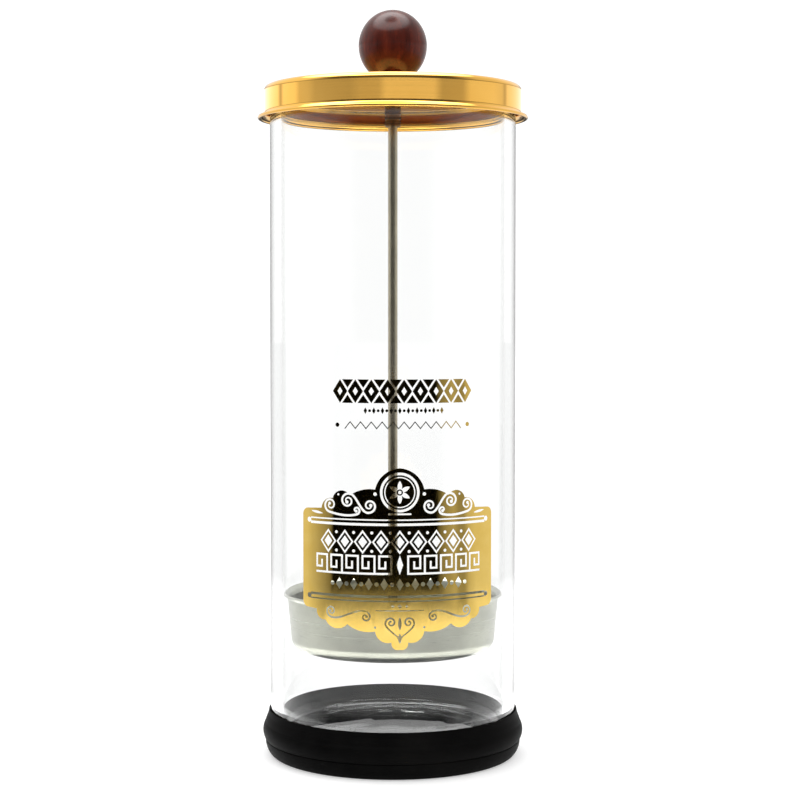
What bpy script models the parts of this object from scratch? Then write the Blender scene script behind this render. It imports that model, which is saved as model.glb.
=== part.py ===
"""Disinfectant jar: a glass cylinder in a rubber boot, with a spun lid whose knob carries a rod and a
basket. Metres, +Z up. The origin is the centre of the boot's foot, and every turned piece is on Z.
The lid slides up +Z off the jar, and the knob, rod and basket turn together about Z in the lid."""
import math

import bmesh
import bpy
from mathutils import Vector

MM = 0.001
GAP = 0.3 * MM                      # clearance between pieces that touch
ROUND = 48                          # sides of a large turned piece
KNOB_ROUND = 32
FINE = 20                           # sides of a small turned piece

# Glass cylinder
GLASS_R = 45.0 * MM
GLASS_WALL = 4.0 * MM
GLASS_BOTTOM = 4.0 * MM
GLASS_FLOOR = 10.0 * MM
GLASS_RIM = 240.6 * MM
GLASS_RIM_ROUND = 1.2 * MM
GLASS_HEEL = 3.0 * MM               # outer corner radius at the bottom
GLASS_COVE = 4.0 * MM               # inner corner radius at the floor

# Rubber boot
BOOT_TOP = 17.0 * MM
BOOT_LIP = 0.35 * MM
BOOT_FOOT_R = 43.0 * MM
BOOT_SEAM_R = 47.0 * MM
BOOT_SEAM_Z = 6.0 * MM
BOOT_SEAM_DEPTH = 0.4 * MM
BOOT_BULGE_R = 47.95 * MM
BOOT_BULGE_Z = 9.3 * MM
BOOT_BULGE = (3.95 * MM, 4.8 * MM)    # the bulge's own radii, outwards and upwards
BOOT_SHOULDER = (46.1 * MM, 15.0 * MM)
BOOT_RECESS_R = 36.0 * MM
BOOT_RECESS_DEPTH = 1.2 * MM

# Spun lid
LID_SHEET = 0.7 * MM
LID_TOP = 245.5 * MM
LID_R = 47.2 * MM
LID_CORNER = 2.0 * MM
LID_SKIRT_END = 235.9 * MM          # where the straight wall turns out into the rim
LID_FLARE = 1.5 * MM
LID_BEAD = 0.65 * MM
LID_BEAD_R = 48.85 * MM             # from the axis to the bead's own centre
SEAL_INNER_R = 42.0 * MM
SEAL_OUTER_R = 46.2 * MM

# Rod, and the pieces threaded on it
ROD_R = 1.75 * MM
ROD_END = 34.0 * MM
ROD_TIP = 257.5 * MM
ROD_BORE = ROD_R + GAP
COLLAR_R = 2.95 * MM
COLLAR_END = 230.6 * MM
LID_WASHER_R = 5.0 * MM
LID_WASHER_THICK = 1.3 * MM

# Knob: an upright ellipsoid with a flat under it
KNOB_R = 12.6 * MM
KNOB_HALF_HEIGHT = 13.1 * MM
KNOB_CENTRE = 260.3 * MM
KNOB_WASHER_R = 5.5 * MM
KNOB_WASHER_THICK = 1.5 * MM
INSERT_R = 3.0 * MM
INSERT_LONG = 11.0 * MM
INSERT_GROOVE = 0.35 * MM

# Basket
BASKET_SHEET = 0.8 * MM
BASKET_BOTTOM = 39.3 * MM
BASKET_CORNER = 5.0 * MM
BASKET_LOW_R = 37.5 * MM
BASKET_HIGH_R = 38.7 * MM
BASKET_FLARE_START = 57.6 * MM
BASKET_RIM_R = 40.2 * MM
BASKET_RIM = 60.6 * MM
DRAIN_R = 2.5 * MM
DRAIN_ROWS = ((5, 14.5 * MM), (10, 26.5 * MM))

# Nuts and washers at the basket
NUT_FLATS = 7.0 * MM
NUT_HIGH = 3.2 * MM
WASHER_R = 6.0 * MM
WASHER_THICK = 1.0 * MM

# Labels: thin sheets that follow the glass; S runs round it and Z runs up it
FOIL = 0.2 * MM
LABEL_TURN = math.radians(3.1)
LABEL_ARC_STEP = 4.0 * MM
# Right half of the plaque's outline, top to bottom: S, Z, and how far the arc to the next point bulges
PLAQUE_HALF = (
    (0.0, 109.0, 1.9), (8.6, 101.6, 0.9), (17.6, 99.4, 2.2), (24.2, 98.2, 1.3), (28.8, 94.6, 0.0),
    (35.0, 94.3, 0.7), (37.4, 91.9, 0.0), (37.4, 61.7, 0.7), (35.0, 59.3, 0.0), (31.0, 59.0, 1.3),
    (27.2, 55.4, 2.2), (18.6, 54.4, 1.1), (8.6, 52.2, 1.6), (2.9, 48.4, 1.1), (0.0, 45.9, 0.0),
)
PANEL_TURN = math.radians(5.0)
PANEL_HALF_WIDTH = 27.5 * MM
PANEL_LOW = 120.5 * MM
PANEL_HIGH = 140.5 * MM
PANEL_CORNER = 2.0 * MM


def clear_scene():
    for obj in list(bpy.data.objects):
        bpy.data.objects.remove(obj, do_unlink=True)


def material(name, colour, roughness, metallic=0.0, alpha=1.0):
    mat = bpy.data.materials.new(name)
    mat.use_nodes = True
    shader = mat.node_tree.nodes["Principled BSDF"]
    shader.inputs["Base Color"].default_value = (*colour, 1.0)
    shader.inputs["Roughness"].default_value = roughness
    shader.inputs["Metallic"].default_value = metallic
    shader.inputs["Alpha"].default_value = alpha
    mat.diffuse_color = (*colour, alpha)
    return mat


def empty(name, parent=None):
    obj = bpy.data.objects.new(name, None)
    obj.empty_display_size = 0.02
    bpy.context.scene.collection.objects.link(obj)
    obj.parent = parent
    return obj


def add_mesh(name, bm, mat, parent, sharp=35.0):
    """Close the bmesh into a named object with outward faces and smooth round stretches."""
    bmesh.ops.recalc_face_normals(bm, faces=bm.faces)
    mesh = bpy.data.meshes.new(name)
    bm.to_mesh(mesh)
    bm.free()
    mesh.shade_smooth()
    mesh.set_sharp_from_angle(angle=math.radians(sharp))
    mesh.materials.append(mat)
    obj = bpy.data.objects.new(name, mesh)
    bpy.context.scene.collection.objects.link(obj)
    obj.parent = parent
    return obj


def arc(centre, radii, start, end, steps):
    """Points of a circular or elliptical arc in the (radius, height) plane, angles in degrees."""
    points = []
    for i in range(steps + 1):
        angle = math.radians(start + (end - start) * i / steps)
        points.append((centre[0] + radii[0] * math.cos(angle), centre[1] + radii[1] * math.sin(angle)))
    return points


def turned(name, profile, mat, parent, sides=ROUND, ring=True):
    """Turn a profile about Z: a ring's profile is a closed loop, a solid's ends lie on the axis."""
    bm = bmesh.new()
    verts = [bm.verts.new((radius, 0.0, height)) for radius, height in profile]
    edges = [bm.edges.new(pair) for pair in zip(verts, verts[1:])]
    if ring:
        edges.append(bm.edges.new((verts[-1], verts[0])))
    bmesh.ops.spin(bm, geom=verts + edges, cent=(0, 0, 0), axis=(0, 0, 1), angle=math.tau, steps=sides)
    bmesh.ops.remove_doubles(bm, verts=bm.verts, dist=1e-6)
    return add_mesh(name, bm, mat, parent)


def sleeve_profile(inner, outer, low, high, chamfer):
    """A plain ring whose two outer corners are chamfered."""
    return [(inner, low), (outer - chamfer, low), (outer, low + chamfer), (outer, high - chamfer),
            (outer - chamfer, high), (inner, high)]


def boolean(obj, cutter, operation):
    """Join a hidden guide to the object with the exact solver."""
    cutter.hide_render = True
    cutter.display_type = 'WIRE'
    modifier = obj.modifiers.new(cutter.name, 'BOOLEAN')
    modifier.operation = operation
    modifier.solver = 'EXACT'
    modifier.object = cutter


# ---------------------------------------------------------------- jar

def make_glass(mat, jar):
    inner = GLASS_R - GLASS_WALL
    rim = GLASS_RIM - GLASS_RIM_ROUND
    heel = (GLASS_R - GLASS_HEEL, GLASS_BOTTOM + GLASS_HEEL)
    cove = (inner - GLASS_COVE, GLASS_FLOOR + GLASS_COVE)
    profile = [(0.0, GLASS_BOTTOM)]
    profile += arc(heel, (GLASS_HEEL,) * 2, -90, 0, 4)
    profile += arc((GLASS_R - GLASS_RIM_ROUND, rim), (GLASS_RIM_ROUND,) * 2, 0, 90, 3)
    profile += arc((inner + GLASS_RIM_ROUND, rim), (GLASS_RIM_ROUND,) * 2, 90, 180, 3)
    profile += arc(cove, (GLASS_COVE,) * 2, 0, -90, 4)
    profile += [(0.0, GLASS_FLOOR)]
    turned("glass_jar", profile, mat, jar, ring=False)


def make_boot(mat, jar):
    bore = GLASS_R + GAP
    floor = GLASS_BOTTOM - GAP
    pocket = GLASS_HEEL + GAP
    profile = [(0.0, BOOT_RECESS_DEPTH), (BOOT_RECESS_R, BOOT_RECESS_DEPTH)]
    profile += [(BOOT_RECESS_R + BOOT_RECESS_DEPTH / 2, 0.0)]
    profile += arc((BOOT_FOOT_R, BOOT_SEAM_Z), (BOOT_SEAM_R - BOOT_FOOT_R, BOOT_SEAM_Z), -90, -4, 5)
    profile += [(BOOT_SEAM_R - BOOT_SEAM_DEPTH, BOOT_SEAM_Z)]
    profile += arc((BOOT_BULGE_R - BOOT_BULGE[0], BOOT_BULGE_Z), BOOT_BULGE, -36, 37, 5)
    profile += [BOOT_SHOULDER, (bore + BOOT_LIP, BOOT_TOP), (bore, BOOT_TOP)]
    profile += arc((bore - pocket, floor + pocket), (pocket,) * 2, 0, -90, 4)
    profile += [(0.0, floor)]
    turned("rubber_base", profile, mat, jar, ring=False)


def bulged(start, end, bulge, steps):
    """Points from start up to but not including end, on an arc that bulges to the left by bulge."""
    start, end = Vector(start), Vector(end)
    chord = end - start
    if bulge == 0.0:
        return [start]
    half = chord.length / 2
    radius = (half * half + bulge * bulge) / (2 * bulge)
    left = Vector((-chord.y, chord.x)).normalized()
    centre = (start + end) / 2 + left * (bulge - radius)
    sweep = 2 * math.asin(min(1.0, half / radius))
    spoke = start - centre
    points = []
    for i in range(steps):
        turn = -sweep * i / steps
        rotated = Vector((spoke.x * math.cos(turn) - spoke.y * math.sin(turn),
                          spoke.x * math.sin(turn) + spoke.y * math.cos(turn)))
        points.append(centre + rotated)
    return points


def plaque_outline():
    """The whole plaque's outline, clockwise: the right half, then its mirror image."""
    right = []
    for here, after in zip(PLAQUE_HALF, PLAQUE_HALF[1:]):
        right += bulged(here[:2], after[:2], here[2], 3)
    bottom = Vector(PLAQUE_HALF[-1][:2])
    left = [Vector((-p.x, p.y)) for p in reversed(right[1:])]
    return [p * MM for p in right + [bottom] + left]


def panel_outline():
    """A rectangle with rounded corners, clockwise."""
    s = PANEL_HALF_WIDTH - PANEL_CORNER
    low, high = PANEL_LOW + PANEL_CORNER, PANEL_HIGH - PANEL_CORNER
    round_corner = (PANEL_CORNER, PANEL_CORNER)
    corners = arc((s, high), round_corner, 90, 0, 3) + arc((s, low), round_corner, 0, -90, 3)
    corners += arc((-s, low), round_corner, -90, -180, 3) + arc((-s, high), round_corner, 180, 90, 3)
    return [Vector(p) for p in corners]


def make_film(name, outline, turn, mat, jar):
    """Cut a flat sheet into strips, thicken it and wrap it round the glass."""
    bm = bmesh.new()
    bm.faces.new([bm.verts.new((p.x, 0.0, p.y)) for p in outline])
    reach = max(p.x for p in outline)
    cuts = int(reach / LABEL_ARC_STEP)
    for i in range(-cuts, cuts + 1):
        geom = bm.verts[:] + bm.edges[:] + bm.faces[:]
        here = (i * LABEL_ARC_STEP, 0, 0)
        bmesh.ops.bisect_plane(bm, geom=geom, plane_co=here, plane_no=(1, 0, 0), dist=1e-7)
    front = bm.faces[:]
    back = bmesh.ops.extrude_face_region(bm, geom=front)["geom"]
    bmesh.ops.translate(bm, vec=(0, FOIL, 0), verts=[v for v in back if isinstance(v, bmesh.types.BMVert)])
    inner = GLASS_R + GAP
    for vert in bm.verts:
        angle = turn + vert.co.x / GLASS_R
        radius = inner + vert.co.y
        vert.co = (radius * math.sin(angle), -radius * math.cos(angle), vert.co.z)
    bmesh.ops.triangulate(bm, faces=bm.faces)
    add_mesh(name, bm, mat, jar)


# ---------------------------------------------------------------- lid

def make_lid(mat, lid):
    """Flat plate, rounded edge, straight wall, then a flared rim that ends in a rolled bead."""
    corner = (LID_R - LID_CORNER, LID_TOP - LID_CORNER)
    corner_in = LID_CORNER - LID_SHEET
    flare = (LID_R + LID_FLARE, LID_SKIRT_END)
    flare_in = LID_FLARE + LID_SHEET
    bead = (LID_BEAD_R, LID_SKIRT_END - LID_FLARE - LID_BEAD * 0.75)
    profile = [(ROD_BORE, LID_TOP)]
    profile += arc(corner, (LID_CORNER,) * 2, 90, 0, 3)
    profile += arc(flare, (LID_FLARE,) * 2, 180, 262, 3)
    profile += arc(bead, (LID_BEAD,) * 2, 75, -150, 5)
    profile += arc(flare, (flare_in,) * 2, 248, 180, 2)
    profile += arc(corner, (corner_in,) * 2, 0, 90, 2)
    profile += [(ROD_BORE, LID_TOP - LID_SHEET)]
    turned("lid_shell", profile, mat, lid)


def make_seal(mat, lid):
    """Soft ring in the lid's corner, which the glass rim presses on."""
    high = LID_TOP - LID_SHEET - GAP
    low = GLASS_RIM + GAP
    notch = 0.9 * MM
    profile = [(SEAL_INNER_R, low), (SEAL_OUTER_R, low), (SEAL_OUTER_R, high - notch),
               (SEAL_OUTER_R - notch, high), (SEAL_INNER_R, high)]
    turned("lid_seal", profile, mat, lid)


# ---------------------------------------------------------------- rack: knob, rod and basket

def make_knob(wood, brass, steel, rack):
    washer_low = LID_TOP + GAP
    washer_high = washer_low + KNOB_WASHER_THICK
    turned("knob_washer", sleeve_profile(ROD_BORE, KNOB_WASHER_R, washer_low, washer_high, 0.4 * MM),
           steel, rack, FINE)
    flat = washer_high + GAP
    bore = INSERT_R + GAP
    bore_top = flat + INSERT_LONG + 2 * GAP
    angle = math.degrees(math.asin((flat - KNOB_CENTRE) / KNOB_HALF_HEIGHT))
    profile = [(bore, flat)] + arc((0.0, KNOB_CENTRE), (KNOB_R, KNOB_HALF_HEIGHT), angle, 90, 12)
    profile[-1] = (0.0, KNOB_CENTRE + KNOB_HALF_HEIGHT)
    profile += [(0.0, bore_top), (bore, bore_top)]
    turned("knob", profile, wood, rack, KNOB_ROUND)
    make_insert(flat, brass, rack)


def make_insert(low, mat, rack):
    """Threaded bush moulded into the knob; two grooves keep it from pulling out."""
    high = low + INSERT_LONG
    waist = INSERT_R - INSERT_GROOVE
    third = INSERT_LONG / 3
    profile = [(ROD_BORE, low), (INSERT_R, low)]
    for middle in (low + third, low + 2 * third):
        profile += [(INSERT_R, middle - 2 * INSERT_GROOVE), (waist, middle - INSERT_GROOVE)]
        profile += [(waist, middle + INSERT_GROOVE), (INSERT_R, middle + 2 * INSERT_GROOVE)]
    profile += [(INSERT_R, high), (ROD_BORE, high)]
    turned("knob_insert", profile, mat, rack, FINE)


def make_rod(mat, rack):
    tip = 0.4 * MM
    profile = [(0.0, ROD_END), (ROD_R - tip, ROD_END), (ROD_R, ROD_END + tip), (ROD_R, ROD_TIP - tip),
               (ROD_R - tip, ROD_TIP), (0.0, ROD_TIP)]
    turned("lift_rod", profile, mat, rack, FINE, ring=False)


def make_collar(mat, rack):
    """Long round nut that clamps the lid's washer from below."""
    washer_high = LID_TOP - LID_SHEET - GAP
    washer_low = washer_high - LID_WASHER_THICK
    turned("lid_washer", sleeve_profile(ROD_BORE, LID_WASHER_R, washer_low, washer_high, 0.3 * MM),
           mat, rack, FINE)
    turned("rod_collar", sleeve_profile(ROD_BORE, COLLAR_R, COLLAR_END, washer_low - GAP, 0.4 * MM),
           mat, rack, FINE)


def make_basket(mat, rack):
    sheet = BASKET_SHEET
    corner = (BASKET_LOW_R - BASKET_CORNER, BASKET_BOTTOM + BASKET_CORNER)
    lip = (BASKET_RIM_R - sheet / 2, BASKET_RIM - sheet / 2)
    profile = [(ROD_BORE, BASKET_BOTTOM)]
    profile += arc(corner, (BASKET_CORNER,) * 2, -90, 0, 4)
    profile += [(BASKET_HIGH_R, BASKET_FLARE_START)]
    profile += arc(lip, (sheet / 2,) * 2, -25, 155, 3)
    profile += [(BASKET_HIGH_R - sheet, BASKET_FLARE_START)]
    profile += arc(corner, (BASKET_CORNER - sheet,) * 2, 0, -90, 4)
    profile += [(ROD_BORE, BASKET_BOTTOM + sheet)]
    basket = turned("basket", profile, mat, rack)
    boolean(basket, drain_cutter(), 'DIFFERENCE')


def drain_cutter():
    """One guide mesh with an upright cylinder for each drain hole in the basket's floor."""
    bm = bmesh.new()
    for count, row_r in DRAIN_ROWS:
        for i in range(count):
            angle = math.tau * (i + 0.5) / count
            made = bmesh.ops.create_cone(bm, cap_ends=True, segments=12, radius1=DRAIN_R, radius2=DRAIN_R,
                                         depth=4 * BASKET_SHEET)
            place = (row_r * math.cos(angle), row_r * math.sin(angle), BASKET_BOTTOM + BASKET_SHEET / 2)
            bmesh.ops.translate(bm, verts=made["verts"], vec=place)
    return add_mesh("drain_guide", bm, bpy.data.materials["satin_steel"], None)


def make_nut(name, low, mat, rack):
    """Hexagon nut: a chamfered ring, kept only inside a hexagonal prism."""
    corner_r = NUT_FLATS / math.sqrt(3)
    chamfer = corner_r - NUT_FLATS / 2
    ring = sleeve_profile(ROD_BORE, corner_r + chamfer / 2, low, low + NUT_HIGH, chamfer)
    nut = turned(name, ring, mat, rack, FINE)
    bm = bmesh.new()
    bmesh.ops.create_cone(bm, cap_ends=True, segments=6, radius1=corner_r, radius2=corner_r,
                          depth=2 * NUT_HIGH)
    bmesh.ops.translate(bm, verts=bm.verts, vec=(0, 0, low + NUT_HIGH / 2))
    boolean(nut, add_mesh(name + "_guide", bm, mat, None), 'INTERSECT')


def make_basket_fixings(mat, rack):
    above = BASKET_BOTTOM + BASKET_SHEET + GAP
    turned("basket_upper_washer", sleeve_profile(ROD_BORE, WASHER_R, above, above + WASHER_THICK, 0.2 * MM),
           mat, rack, FINE)
    make_nut("basket_upper_nut", above + WASHER_THICK + GAP, mat, rack)
    below = BASKET_BOTTOM - GAP
    turned("basket_lower_washer", sleeve_profile(ROD_BORE, WASHER_R, below - WASHER_THICK, below, 0.2 * MM),
           mat, rack, FINE)
    make_nut("basket_lower_nut", below - WASHER_THICK - GAP - NUT_HIGH, mat, rack)


def main():
    clear_scene()
    rubber = material("black_rubber", (0.012, 0.012, 0.012), 0.45)
    glass = material("clear_glass", (0.86, 0.92, 0.90), 0.03, alpha=0.25)
    foil = material("gold_foil", (0.83, 0.60, 0.22), 0.12, 1.0)
    gold = material("gold_lid_metal", (0.88, 0.62, 0.24), 0.10, 1.0)
    silicone = material("clear_silicone", (0.86, 0.80, 0.68), 0.40, alpha=0.6)
    wood = material("lacquered_wood", (0.11, 0.022, 0.012), 0.15)
    brass = material("insert_brass", (0.72, 0.52, 0.22), 0.30, 1.0)
    steel = material("satin_steel", (0.70, 0.71, 0.66), 0.30, 1.0)
    dark_steel = material("dark_steel", (0.30, 0.26, 0.20), 0.30, 1.0)

    jar = empty("jar_base")
    lid = empty("lid_lift_axis", jar)
    rack = empty("rack_turn_axis", lid)

    make_boot(rubber, jar)
    make_glass(glass, jar)
    make_film("front_label", plaque_outline(), LABEL_TURN, foil, jar)
    make_film("upper_label", panel_outline(), PANEL_TURN, foil, jar)
    make_lid(gold, lid)
    make_seal(silicone, lid)
    make_knob(wood, brass, gold, rack)
    make_rod(steel, rack)
    make_collar(dark_steel, rack)
    make_basket(steel, rack)
    make_basket_fixings(steel, rack)


main()
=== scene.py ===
"""Looks of the disinfectant jar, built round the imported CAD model. Metres, +Z up, the label faces -Y."""

import math

import bmesh
import bpy
import numpy as np
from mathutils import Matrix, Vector
from mathutils.geometry import delaunay_2d_cdt


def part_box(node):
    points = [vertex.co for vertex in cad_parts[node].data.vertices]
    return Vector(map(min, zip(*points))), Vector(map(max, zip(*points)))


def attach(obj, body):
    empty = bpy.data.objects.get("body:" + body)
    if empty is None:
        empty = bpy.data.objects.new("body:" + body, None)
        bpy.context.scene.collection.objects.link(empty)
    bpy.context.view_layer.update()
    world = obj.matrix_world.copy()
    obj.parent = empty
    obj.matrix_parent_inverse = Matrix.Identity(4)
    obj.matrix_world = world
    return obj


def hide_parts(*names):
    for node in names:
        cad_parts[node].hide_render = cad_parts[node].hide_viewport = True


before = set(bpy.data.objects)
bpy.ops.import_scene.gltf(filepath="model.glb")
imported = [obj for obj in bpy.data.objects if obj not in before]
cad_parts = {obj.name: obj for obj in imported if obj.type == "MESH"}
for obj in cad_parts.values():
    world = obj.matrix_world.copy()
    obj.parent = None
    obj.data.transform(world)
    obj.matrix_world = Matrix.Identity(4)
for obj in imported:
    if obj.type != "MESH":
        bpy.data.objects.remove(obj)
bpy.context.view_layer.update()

MM = 0.001
ROUND = 192                          # sides of a large turned piece
FINE = 64                            # sides of a small one
SCREW_BORE = 2.05 * MM               # hole radius of what slides over the rod

LABEL_TURN = math.radians(3.1)       # the plaque's centre, to the right of the front
PANEL_TURN = math.radians(5.0)       # the upper print's centre
FOIL = 0.05 * MM                     # thickness of the gold foil
FOIL_GAP = 0.03 * MM                 # clearance between the foil and the glass
FOIL_GRID = 1.5                      # millimetres between the foil's upright cuts, which let it bend

LENS, SENSOR = 86.75, 36.0           # millimetres
LENS_SHIFT = (0.009, -0.03)          # sideways and up, in widths of the picture
CAMERA_AT = (0.0, -0.7099, 0.1637)   # metres
CAMERA_DIP = 1.962                   # degrees it looks down

WHITE_ROOM = 1.14                    # strength of the plain white surroundings
RING_LAMP = 6.5                      # strength of the ring lamp overhead
LAMP_AXIS = (-0.07, -0.07, 0.995)    # towards the middle of the ring lamp
BAND_LOW, BAND_HIGH = 0.08, 0.16     # rise of the directions between which the lit band starts and ends
TOP = 2.0                            # the strongest value a light ramp may hold
FLOOR_HALF = 6.0                     # half the floor's side, metres
FLOOR_GREY, FLOOR_GLOW = 0.72, 0.42  # the floor's own tone, and the light it adds
CARD_NEAR, CARD_FAR = 0.12, 9.0      # inner and outer radius of the card over the floor
CARD_RISE = 0.5 * MM                 # height of the card over the floor


# ================================================================ materials

class Nodes:
    """Builds one node tree: add() makes a node, link() joins two sockets, math() works a value out."""

    def __init__(self, tree):
        self.tree = tree

    def add(self, kind, **props):
        node = self.tree.nodes.new(kind)
        for key, value in props.items():
            setattr(node, key, value)
        return node

    def link(self, source, target):
        self.tree.links.new(source, target)

    def split(self, vector):
        """The X, Y and Z of a vector."""
        node = self.add("ShaderNodeSeparateXYZ")
        self.link(vector, node.inputs[0])
        return node.outputs

    def math(self, operation, *values):
        node = self.add("ShaderNodeMath", operation=operation)
        for socket, value in zip(node.inputs, values):
            if isinstance(value, (int, float)):
                socket.default_value = value
            else:
                self.link(value, socket)
        return node.outputs[0]

    def blend(self, factor, first, second):
        """first where factor is 0, second where it is 1."""
        return self.math("ADD", first, self.math("MULTIPLY", factor, self.math("SUBTRACT", second, first)))

    def ramp(self, factor, stops, target=None):
        """Colour ramp from (place, value) stops; value is a number or a colour."""
        node = self.add("ShaderNodeValToRGB")
        band = node.color_ramp
        while len(band.elements) < len(stops):
            band.elements.new(0.5)
        for element, (place, value) in zip(band.elements, stops):
            element.position = place
            element.color = (*value, 1.0) if isinstance(value, tuple) else (value, value, value, 1.0)
        self.link(factor, node.inputs[0])
        if target is not None:
            self.link(node.outputs[0], target)
        return node.outputs[0]

    def light(self, factor, stops):
        """Ramp of light strengths: a ramp is only sure up to 1, so they go in over TOP and come out whole."""
        return self.math("MULTIPLY", self.ramp(factor, [(place, value / TOP) for place, value in stops]), TOP)

    def azimuth(self, x, y):
        """0 to 1 round the object; at() gives the place of an angle."""
        angle = self.math("ARCTAN2", x, self.math("MULTIPLY", y, -1.0))
        return self.math("ADD", self.math("DIVIDE", angle, math.tau), 0.5)


def at(degrees):
    """Place on an azimuth ramp: 0.5 is the front (-Y), rising towards +X."""
    return 0.5 + degrees / 360.0


class Shader(Nodes):
    """A Principled material in object coordinates; set() gives the shader's own sockets an even value."""

    def __init__(self, name):
        self.mat = bpy.data.materials.new(name)
        self.mat.use_nodes = True
        super().__init__(self.mat.node_tree)
        self.bsdf = self.tree.nodes["Principled BSDF"]
        self.out = self.tree.nodes["Material Output"]
        self.base, self.rough = self.bsdf.inputs["Base Color"], self.bsdf.inputs["Roughness"]
        self.coords = self.add("ShaderNodeTexCoord").outputs["Object"]

    def set(self, **values):
        for key, value in values.items():
            self.bsdf.inputs[key.replace("_", " ")].default_value = value

    def scaled(self, scale, source=None):
        """Object coordinates stretched by scale, three numbers."""
        node = self.add("ShaderNodeMapping")
        node.inputs["Scale"].default_value = scale
        self.link(source or self.coords, node.inputs["Vector"])
        return node.outputs[0]

    def turned_coords(self):
        """(radius, 0, height) of each point: rings run round Z on plates and walls alike."""
        x, y, z = self.split(self.coords)
        radius = self.math("SQRT", self.math("ADD", self.math("MULTIPLY", x, x), self.math("MULTIPLY", y, y)))
        join = self.add("ShaderNodeCombineXYZ")
        self.link(radius, join.inputs[0])
        self.link(z, join.inputs[2])
        return join.outputs[0]

    def noise(self, vector, scale, detail=3.0, rough=0.55, distortion=0.0):
        node = self.add("ShaderNodeTexNoise")
        node.inputs["Scale"].default_value = scale
        node.inputs["Detail"].default_value = detail
        node.inputs["Roughness"].default_value = rough
        node.inputs["Distortion"].default_value = distortion
        self.link(vector, node.inputs["Vector"])
        return node.outputs["Fac"]

    def darkened(self, tone, amount, factor, stops):
        """tone multiplied by a ramp, as far as amount says."""
        mix = self.add("ShaderNodeMixRGB", blend_type='MULTIPLY')
        mix.inputs[0].default_value = amount
        self.link(tone, mix.inputs[1])
        self.ramp(factor, stops, mix.inputs[2])
        return mix.outputs[0]

    def bump(self, height, strength, distance):
        node = self.add("ShaderNodeBump")
        node.inputs["Strength"].default_value = strength
        node.inputs["Distance"].default_value = distance
        self.link(height, node.inputs["Height"])
        self.link(node.outputs[0], self.bsdf.inputs["Normal"])


def glass_material():
    """Clear soda glass: rippled pressed floor, faintly drawn walls, a green tint only where it is thick."""
    s = Shader("clear_glass")
    s.set(Base_Color=(1.0, 1.0, 1.0, 1.0), Roughness=0.0, IOR=1.5, Transmission_Weight=1.0)
    height = s.split(s.coords)[2]
    # the ripple is whole below 10 mm and 0.03 of that over 14 mm
    floor = s.ramp(s.math("MULTIPLY", height, 40.0), ((0.40, 1.0), (0.56, 0.03)))
    waves = s.noise(s.scaled((1.0, 1.0, 0.25)), 26.0, 1.0, 0.5, 1.5)
    s.bump(s.math("MULTIPLY", waves, floor), 0.35, 0.0010)
    tint = s.add("ShaderNodeVolumeAbsorption")
    tint.inputs["Color"].default_value = (0.80, 0.95, 0.86, 1.0)
    tint.inputs["Density"].default_value = 6.0
    s.link(tint.outputs[0], s.out.inputs["Volume"])
    return s.mat


def rubber_material():
    """Black moulded rubber: fine tooth, slightly worn and dusty on the bulge."""
    s = Shader("black_rubber")
    s.set(IOR=1.2, Specular_IOR_Level=0.08)
    tooth = s.noise(s.coords, 1900.0, 2.0)
    cloud = s.noise(s.coords, 60.0, 4.0)
    s.ramp(cloud, ((0.35, (0.0012, 0.0012, 0.0012)), (0.75, (0.004, 0.0039, 0.0037))), s.base)
    s.ramp(cloud, ((0.3, 0.48), (0.8, 0.62)), s.rough)
    s.bump(tooth, 0.25, 0.00012)
    return s.mat


def lid_material():
    """Polished gold-plated metal with faint spinning rings."""
    s = Shader("polished_gold")
    s.set(Metallic=1.0)
    rings = s.noise(s.scaled((5200.0, 1.0, 5200.0), s.turned_coords()), 1.0, 2.0)
    cloud = s.noise(s.coords, 45.0, 3.0)
    s.ramp(cloud, ((0.3, (0.90, 0.49, 0.095)), (0.7, (0.94, 0.54, 0.12))), s.base)
    s.ramp(rings, ((0.3, 0.03), (0.75, 0.07)), s.rough)
    s.bump(rings, 0.04, 0.00002)
    return s.mat


def foil_material():
    """Hot-stamped mirror gold foil, a little uneven on the glass."""
    s = Shader("gold_foil")
    s.set(Metallic=1.0)
    cloud = s.noise(s.coords, 130.0, 3.0)
    speck = s.noise(s.coords, 2600.0, 2.0)
    s.ramp(cloud, ((0.3, (0.91, 0.62, 0.145)), (0.7, (0.96, 0.68, 0.19))), s.base)
    s.ramp(speck, ((0.35, 0.035), (0.8, 0.08)), s.rough)
    s.bump(cloud, 0.05, 0.0002)
    return s.mat


def wood_material():
    """Dark red hardwood under thick lacquer; the grain runs upright through the ball."""
    s = Shader("lacquered_wood")
    s.set(Roughness=0.4, IOR=1.4, Specular_IOR_Level=0.15, Coat_Weight=0.36, Coat_Roughness=0.09,
          Coat_IOR=1.42)
    grain = s.noise(s.scaled((260.0, 260.0, 28.0)), 1.0, 5.0, 0.6, 0.4)
    pores = s.noise(s.scaled((1500.0, 1500.0, 120.0)), 1.0, 2.0)
    tone = s.ramp(grain, (
        (0.30, (0.026, 0.0025, 0.001)), (0.55, (0.062, 0.007, 0.002)), (0.75, (0.11, 0.017, 0.004))))
    s.link(s.darkened(tone, 0.6, pores, ((0.30, 0.35), (0.45, 1.0))), s.base)
    s.bump(grain, 0.08, 0.0002)
    return s.mat


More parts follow.
